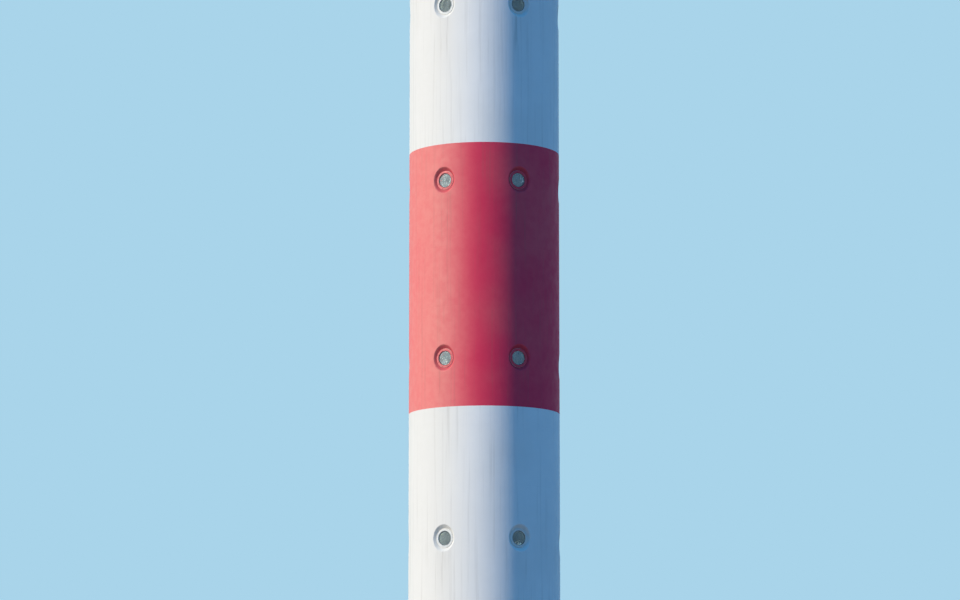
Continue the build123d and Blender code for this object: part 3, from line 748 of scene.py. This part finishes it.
def mid_rail_seats():
    """Places where the mid rails meet the sides of the posts."""
    spots = []
    for height in mid_rail_heights:
        for angle in rail_post_angles:
            for offset in (-rail_post_radius, rail_post_radius):
                place = upright(angle, rail_circle, deck_top + height) @ Matrix.Translation((0, offset, 0))
                spots.append(place @ Matrix.Rotation(math.radians(90), 4, "X"))
    return spots


def gallery_railing():
    foot_top = deck_top + post_foot_thickness
    bolts = foot_bolts(foot_top)
    stud = lathe([(0, 0), (0.006, 0), (0.006, 0.022), (0.005, 0.024), (0, 0.024)], 10)
    nuts = [copies(hex_bolt(0.019, 0.013), bolts), copies(stud, bolts)]
    piece("railing_foot_nuts", nuts, "door_steel")
    handrail_seat = handrail_top - 2 * handrail_radius + 0.002
    feet = [upright(angle, rail_circle, foot_top) for angle in rail_post_angles]
    heads = [upright(angle, rail_circle, handrail_seat) for angle in rail_post_angles]
    welds = [
        copies(bead(rail_post_radius + 0.001, 0.0045, 24), feet),
        copies(bead(rail_post_radius * 0.86, 0.005, 24), heads),
        copies(bead(mid_rail_radius + 0.001, 0.0035, 20), mid_rail_seats()),
    ]
    piece("railing_welds", welds, "railing_paint")


gallery_railing()


# Doors: seals, screws, hinge caps, lock cylinders, handle roses and weather bars
def hinge_steel(width, height, bottom, face):
    """Places of the screws in a door's hinge plates, and of the caps on the hinge barrels."""
    hinge_x = door_frame_width - width / 2
    screws = []
    caps = []
    for middle in (bottom + hinge_inset, bottom + height / 2, bottom + height - hinge_inset):
        for side in (-0.021, 0.021):
            for rise in (-0.036, 0, 0.036):
                place = outward(door_angle, face + hinge_plate_thickness, middle + rise)
                screws.append(place @ Matrix.Translation((hinge_x + side, 0, 0)))
        for flip in (0, 180):
            place = outward(door_angle, face + hinge_radius, middle) @ Matrix.Translation((hinge_x, 0, 0))
            turned = place @ Matrix.Rotation(math.radians(flip - 90), 4, "X")
            caps.append(turned @ Matrix.Translation((0, 0, hinge_height / 2)))
    return screws, caps


def door_steel(width, height, bottom, face):
    """The screw heads, hinge caps, lock cylinder and handle rose of a door."""
    screws, caps = hinge_steel(width, height, bottom, face)
    handle_x = width / 2 - door_frame_width - handle_from_edge

    def on_plate(rise):
        place = outward(door_angle, face + handle_plate_thickness, bottom + handle_height + rise)
        return place @ Matrix.Translation((handle_x, 0, 0))

    screws += [on_plate(-0.09), on_plate(0.09)]
    lock_rim = [(0, 0), (0.013, 0), (0.013, 0.006), (0.011, 0.008)]
    keyway = [(0.0085, 0.008), (0.0085, 0.005), (0, 0.005)]
    rose = [(0, 0), (0.0105, 0), (0.0105, 0.005), (0.0065, 0.008), (0, 0.008)]
    return [
        copies(dome_head(0.0055, 0.003, 8), screws),
        copies(dome_head(hinge_radius * 0.9, 0.008, 12), caps),
        copies(lathe(lock_rim + keyway, 24), [on_plate(-0.058)]),
        copies(ring(0.0105, rose, 28), [on_plate(0)]),
    ]


def door_edges(width, height, bottom, face):
    """The rubber seal round a door's leaf, and the weather bar at its foot."""
    leaf_width = width - 2 * (door_frame_width + door_leaf_gap)
    leaf_height = height - door_frame_width - door_sill_height - 2 * door_leaf_gap
    leaf_bottom = bottom + door_sill_height + door_leaf_gap
    section = [(-0.003, 0.0), (0.004, 0.0), (0.003, 0.003), (-0.002, 0.003)]
    seal = window_ring(leaf_width, leaf_height, section)
    seal_place = outward(door_angle, face, leaf_bottom + leaf_height / 2)
    bar = block(leaf_width - 0.05, 0.045, 0.022, 0.008)
    bar_place = outward(door_angle, face + 0.009, leaf_bottom + 0.07)
    return copies(seal, [seal_place]), copies(bar, [bar_place])


def doors():
    seals = []
    steel = []
    bars = []
    for door in (entrance_door, gallery_door):
        seal, bar = door_edges(*door)
        seals.append(seal)
        steel += door_steel(*door)
        bars.append(bar)
    piece("door_seals", seals, "rubber")
    piece("door_screws", steel, "door_steel")
    piece("door_weather_bars", bars, "door_paint")


def entrance():
    """A drip mould over the entrance, and strips of rubber on its step."""
    head = base_top + entrance_door[1] + 0.05
    section = [(-0.004, 0.0), (0.046, -0.004), (0.046, 0.010), (0.040, 0.016), (-0.004, 0.034)]
    mould = [(shaft_radius + out, head + rise) for out, rise in section]
    piece("entrance_drip_mould", [arc(mould, door_angle - 17.5, door_angle + 17.5, 28)], "red_wall")
    step_top = high("entrance_step").z
    rows = [base_radius + 0.10 + 0.075 * row for row in range(3)]
    treads = [Matrix.Translation((0, -row, step_top + 0.0015)) for row in rows]
    piece("step_treads", [copies(block(0.92, 0.034, 0.005, 0.0015), treads)], "rubber")


doors()
entrance()


# Toe plate: its bolts, and straps over its joints
def toe_plate():
    face = rail_circle - rail_post_radius - toe_plate_thickness
    strap_face = face - 0.004
    bottom = low("toe_plate").z
    bolt_rows = (bottom + 0.03, bottom + 0.07)
    strap_bottom = bottom + 0.012
    strap_top = bottom + 0.088
    section = [(strap_face, strap_bottom), (face, strap_bottom), (face, strap_top), (strap_face, strap_top)]
    joints = [angle + 180 / rail_post_count for angle in rail_post_angles[::2]]
    turns = [Matrix.Rotation(math.radians(joint), 4, "Z") for joint in joints]
    heads = []
    for joint in joints:
        for side in (-0.7, 0.7):
            heads += [outward(joint + side + 180, -strap_face, row) for row in bolt_rows]
    straps = [copies(arc(section, -1.2, 1.2, 3), turns), copies(dome_head(0.008, 0.005, 8), heads)]
    piece("toe_plate_straps", straps, "railing_paint")
    bolts = [outward(angle + 180, -face, row) for angle in rail_post_angles for row in bolt_rows]
    piece("toe_plate_bolts", [copies(hex_bolt(0.015, 0.008), bolts)], "door_steel")


toe_plate()


# Lantern: screws in the caps of the bars, gaskets round the panes, and bolts in head and sill
lantern_sides = [lantern_side_turn * (side + 0.5) for side in range(lantern_side_count)]
lantern_middle = (sill_top + head_bottom) / 2
pane_corner_offset = glass_face_distance * math.tan(lantern_half_side)
pane_half_width = pane_corner_offset - bar_cap_width / 2 / math.cos(lantern_half_side)
pane_height = (head_bottom - sill_top - cross_bar_height) / 2


def bar_screws():
    """Places of the screws, two rows on each upright bar and one on each cross bar."""
    cap_face = glass_face_distance + bar_cap_thickness
    row_offset = cap_face * math.tan(lantern_half_side) - 0.017
    bar_length = head_bottom - sill_top - 0.12
    spots = []
    for angle in lantern_sides:
        for offset in (-row_offset, row_offset):
            for step in range(11):
                height = sill_top + 0.06 + bar_length * step / 10
                spots.append(outward(angle, cap_face, height) @ Matrix.Translation((offset, 0, 0)))
        for step in range(5):
            offset = pane_half_width * (-0.8 + 0.4 * step)
            spots.append(outward(angle, cap_face, lantern_middle) @ Matrix.Translation((offset, 0, 0)))
    return spots


def lantern():
    piece("lantern_screws", [copies(dome_head(0.0055, 0.0035, 8), bar_screws())], "optic_brass")
    section = [(-0.002, -0.001), (0.007, -0.001), (0.0055, 0.004), (0.0015, 0.0065), (-0.002, 0.0065)]
    gasket = window_ring(2 * pane_half_width, pane_height, section)
    rise = (pane_height + cross_bar_height) / 2
    heights = (lantern_middle - rise, lantern_middle + rise)
    panes = [outward(angle, glass_face_distance, height) for angle in lantern_sides for height in heights]
    piece("lantern_gaskets", [copies(gasket, panes)], "rubber")
    bolts = []
    for angle in lantern_sides:
        for offset in (-7.5, 0, 7.5):
            bolts.append(outward(angle + offset, high("lantern_head").x, (head_bottom + head_top) / 2))
            bolts.append(outward(angle + offset, high("lantern_sill").x, sill_top - 0.12))
    piece("lantern_ring_bolts", [copies(hex_bolt(0.024, 0.014), bolts)], "lantern_red")


lantern()


# Cupola: rivets beside the ribs, bands at foot and collar, bolts under the eaves, and the gutter's lip
dome_sphere = (dome_radius ** 2 + dome_rise ** 2) / (2 * dome_rise)
dome_centre = eaves_top + dome_rise - dome_sphere


def dome_rivets():
    """Places of the rivets, in a row on each side of each rib."""
    first = math.asin(0.27 / dome_sphere)
    last = math.asin((dome_radius - 0.05) / dome_sphere)
    rivets_in_row = 24
    centre = Matrix.Translation((0, 0, dome_centre))
    skin = Matrix.Translation((0, 0, dome_sphere - 0.001))
    spots = []
    for rib in range(lantern_side_count):
        turn = Matrix.Rotation(math.radians(lantern_side_turn * rib), 4, "Z")
        for side in (-1, 1):
            aside = Matrix.Rotation(-side * (rib_half_width + 0.016) / dome_sphere, 4, "X")
            for step in range(rivets_in_row):
                lean = Matrix.Rotation(first + (last - first) * step / (rivets_in_row - 1), 4, "Y")
                spots.append(turn @ centre @ lean @ aside @ skin)
    return spots


def dome_band(outer_radius, inner_radius):
    """A thin raised band round the dome, between two distances from its axis."""
    profile = []
    edges = ((outer_radius, 0), (outer_radius, 0.007), (inner_radius, 0.007), (inner_radius, 0))
    for radius, lift in edges:
        polar = math.asin(radius / dome_sphere)
        reach = dome_sphere + lift
        profile.append((reach * math.sin(polar), dome_centre + reach * math.cos(polar)))
    return lathe(profile, 120, closed=True)


def gutter_lip():
    """A rounded lip along the gutter's edge, flatter than it is wide."""
    section = []
    for step in range(10):
        turn = 2 * math.pi * step / 10
        section.append((-0.007 + 0.006 * math.cos(turn), eaves_top + 0.003 * math.sin(turn)))
    return ring(eaves_radius, section, 144)


def cupola():
    rivets = copies(dome_head(0.0075, 0.005, 8), dome_rivets())
    piece("cupola_rivets", [rivets], "lantern_red")
    bands = [dome_band(dome_radius - 0.002, dome_radius - 0.040), dome_band(0.275, 0.222)]
    piece("cupola_bands", bands, "lantern_red")
    upside_down = Matrix.Rotation(math.pi, 4, "X")
    eaves = [upright(10 * bolt, eaves_radius - 0.045, head_top) @ upside_down for bolt in range(36)]
    piece("eaves_bolts", [copies(hex_bolt(0.022, 0.012), eaves)], "lantern_red")
    piece("gutter_lip", [gutter_lip()], "lantern_red")


cupola()


# Ventilator and lightning rod: bolts and louvres, and the collar and sleeve that clamp the rod
def ventilator():
    flange_top = low("ventilator").z + 0.024
    bolts = [upright(30 * bolt + 15, 0.180, flange_top) for bolt in range(12)]
    piece("ventilator_bolts", [copies(hex_bolt(0.016, 0.010), bolts)], "lantern_red")
    section = [(0.149, -0.008), (0.166, -0.012), (0.167, -0.009), (0.149, 0.008)]
    louvres = []
    for row in range(4):
        height = flange_top + 0.035 + 0.033 * row
        louvres.append(lathe([(radius, height + rise) for radius, rise in section], 64, closed=True))
    piece("ventilator_louvres", louvres, "lantern_red")


def rod_clamp():
    foot = low("lightning_rod").z
    collar = [(0.0335, foot + 0.004), (0.039, foot + 0.006), (0.039, foot + 0.022), (0.0335, foot + 0.024)]
    sleeve = [(0.0138, foot + 0.20), (0.0185, foot + 0.203), (0.0185, foot + 0.237), (0.0138, foot + 0.24)]
    rings = [lathe(collar, 32, closed=True), lathe(sleeve, 24, closed=True)]
    piece("rod_clamp", rings, "rod_steel")


ventilator()
rod_clamp()


# Optic: brass uprights with finials, the lamp in the middle, and bolts in the pedestal
lens_middle = (lens_bottom + lens_top) / 2
table_top = high("optic_pedestal").z


def optic_cage():
    turns = [60 * bar + 15 for bar in range(6)]
    rings_top = high("optic_rings").z
    bar = block(0.010, 0.016, lens_top - lens_bottom + 0.04, 0.003)
    bars = [upright(turn, lens_ring_radius + 0.004, lens_middle) for turn in turns]
    finials = [upright(turn, lens_ring_radius - 0.012, rings_top) for turn in turns]
    cage = [copies(bar, bars), copies(dome_head(0.011, 0.016, 16), finials)]
    piece("optic_uprights", cage, "optic_brass")


def optic_lamp():
    """A holder on the pedestal, and a bulb at the lens's middle."""
    holder = [
        (0, table_top),
        (0.075, table_top),
        (0.075, table_top + 0.012),
        (0.022, table_top + 0.03),
        (0.018, lens_middle - 0.13),
        (0.034, lens_middle - 0.12),
        (0.034, lens_middle - 0.075),
        (0.026, lens_middle - 0.06),
        (0, lens_middle - 0.06),
    ]
    piece("lamp_holder", [lathe(holder, 36)], "optic_brass")
    bulb = [
        (0, lens_middle - 0.062),
        (0.022, lens_middle - 0.06),
        (0.030, lens_middle - 0.03),
        (0.046, lens_middle + 0.01),
        (0.046, lens_middle + 0.03),
        (0.032, lens_middle + 0.06),
        (0.012, lens_middle + 0.074),
        (0, lens_middle + 0.076),
    ]
    piece("lamp_bulb", [lathe(bulb, 36)], "optic_glass")


def pedestal_bolts():
    foot_top = low("optic_pedestal").z + 0.040
    rim = high("optic_pedestal").x - 0.012
    foot_spots = [upright(45 * bolt, 0.215, foot_top) for bolt in range(8)]
    rim_spots = [upright(30 * bolt, rim, table_top) for bolt in range(12)]
    bolts = [copies(hex_bolt(0.026, 0.016), foot_spots), copies(hex_bolt(0.012, 0.007), rim_spots)]
    piece("pedestal_bolts", bolts, "door_steel")


optic_cage()
optic_lamp()
pedestal_bolts()


# Studio
def seen_by_camera(tree):
    """1 for rays from the camera, straight or by way of metal or glass, and 0 for light on the tower."""
    rays = tree.nodes.new("ShaderNodeLightPath")
    seen = rays.outputs["Is Camera Ray"]
    for kind in ("Is Glossy Ray", "Is Transmission Ray"):
        either = tree.nodes.new("ShaderNodeMath")
        either.operation = "MAXIMUM"
        tree.links.new(seen, either.inputs[0])
        tree.links.new(rays.outputs[kind], either.inputs[1])
        seen = either.outputs[0]
    return seen


def studio_floor():
    """A plain pale floor that fades into the backdrop, far out on every side."""
    bpy.ops.mesh.primitive_circle_add(vertices=96, radius=floor_radius, fill_type="NGON")
    floor = bpy.context.object
    floor.name = "studio_floor"
    s = Surface("studio_floor")
    bounced = s.node("ShaderNodeLightPath").outputs["Is Diffuse Ray"]
    s.finish(s.mix(bounced, floor_colour, floor_bounce), 0.9)
    far = s.rise(s.radius(), fade_start, fade_end)
    plain = s.node("ShaderNodeEmission")
    plain.inputs["Color"].default_value = backdrop
    mixed = s.node("ShaderNodeMixShader")
    s.feed(mixed.inputs[0], s.math("MULTIPLY", seen_by_camera(s.tree), far))
    s.feed(mixed.inputs[1], s.shader.outputs[0])
    s.feed(mixed.inputs[2], plain.outputs[0])
    s.feed(s.output.inputs["Surface"], mixed.outputs[0])
    floor.data.materials.append(s.material)


def studio_world():
    """A soft fill of light from all sides, behind it the plain backdrop that the camera sees."""
    world = bpy.data.worlds.new("studio")
    bpy.context.scene.world = world
    world.use_nodes = True
    tree = world.node_tree
    fill = tree.nodes["Background"]
    fill.inputs["Color"].default_value = fill_colour
    behind = tree.nodes.new("ShaderNodeBackground")
    behind.inputs["Color"].default_value = backdrop
    mixed = tree.nodes.new("ShaderNodeMixShader")
    tree.links.new(seen_by_camera(tree), mixed.inputs[0])
    tree.links.new(fill.outputs[0], mixed.inputs[1])
    tree.links.new(behind.outputs[0], mixed.inputs[2])
    tree.links.new(mixed.outputs[0], tree.nodes["World Output"].inputs[0])


def sun(name, turn, elevation, strength, colour, width):
    """A broad distant lamp. The turn is from the photograph's line of sight, positive to the right."""
    angle = math.radians(camera_azimuth - 90 + turn)
    rise = math.radians(elevation)
    towards = Vector((math.cos(rise) * math.cos(angle), math.cos(rise) * math.sin(angle), math.sin(rise)))
    data = bpy.data.lights.new(name, "SUN")
    data.energy = strength
    data.color = colour
    data.angle = math.radians(width)
    lamp = bpy.data.objects.new(name, data)
    lamp.rotation_euler = towards.to_track_quat("Z", "Y").to_euler()
    lamp.location = towards * lamp_distance
    bpy.context.scene.collection.objects.link(lamp)


def camera():
    data = bpy.data.cameras.new("camera")
    data.lens = camera_lens
    data.clip_end = 2000
    made = bpy.data.objects.new("camera", data)
    turn = math.radians(camera_azimuth)
    made.location = (camera_distance * math.sin(turn), -camera_distance * math.cos(turn), camera_height)
    made.rotation_euler = (math.radians(90 + camera_pitch), 0, turn + math.radians(camera_yaw))
    bpy.context.scene.collection.objects.link(made)
    bpy.context.scene.camera = made


studio_floor()
studio_world()
sun("key_lamp", sun_turn, sun_elevation, sun_strength, sun_colour, sun_width)
sun("rim_lamp", rim_turn, rim_elevation, rim_strength, rim_colour, rim_width)
camera()
bpy.context.scene.view_settings.view_transform = "Standard"
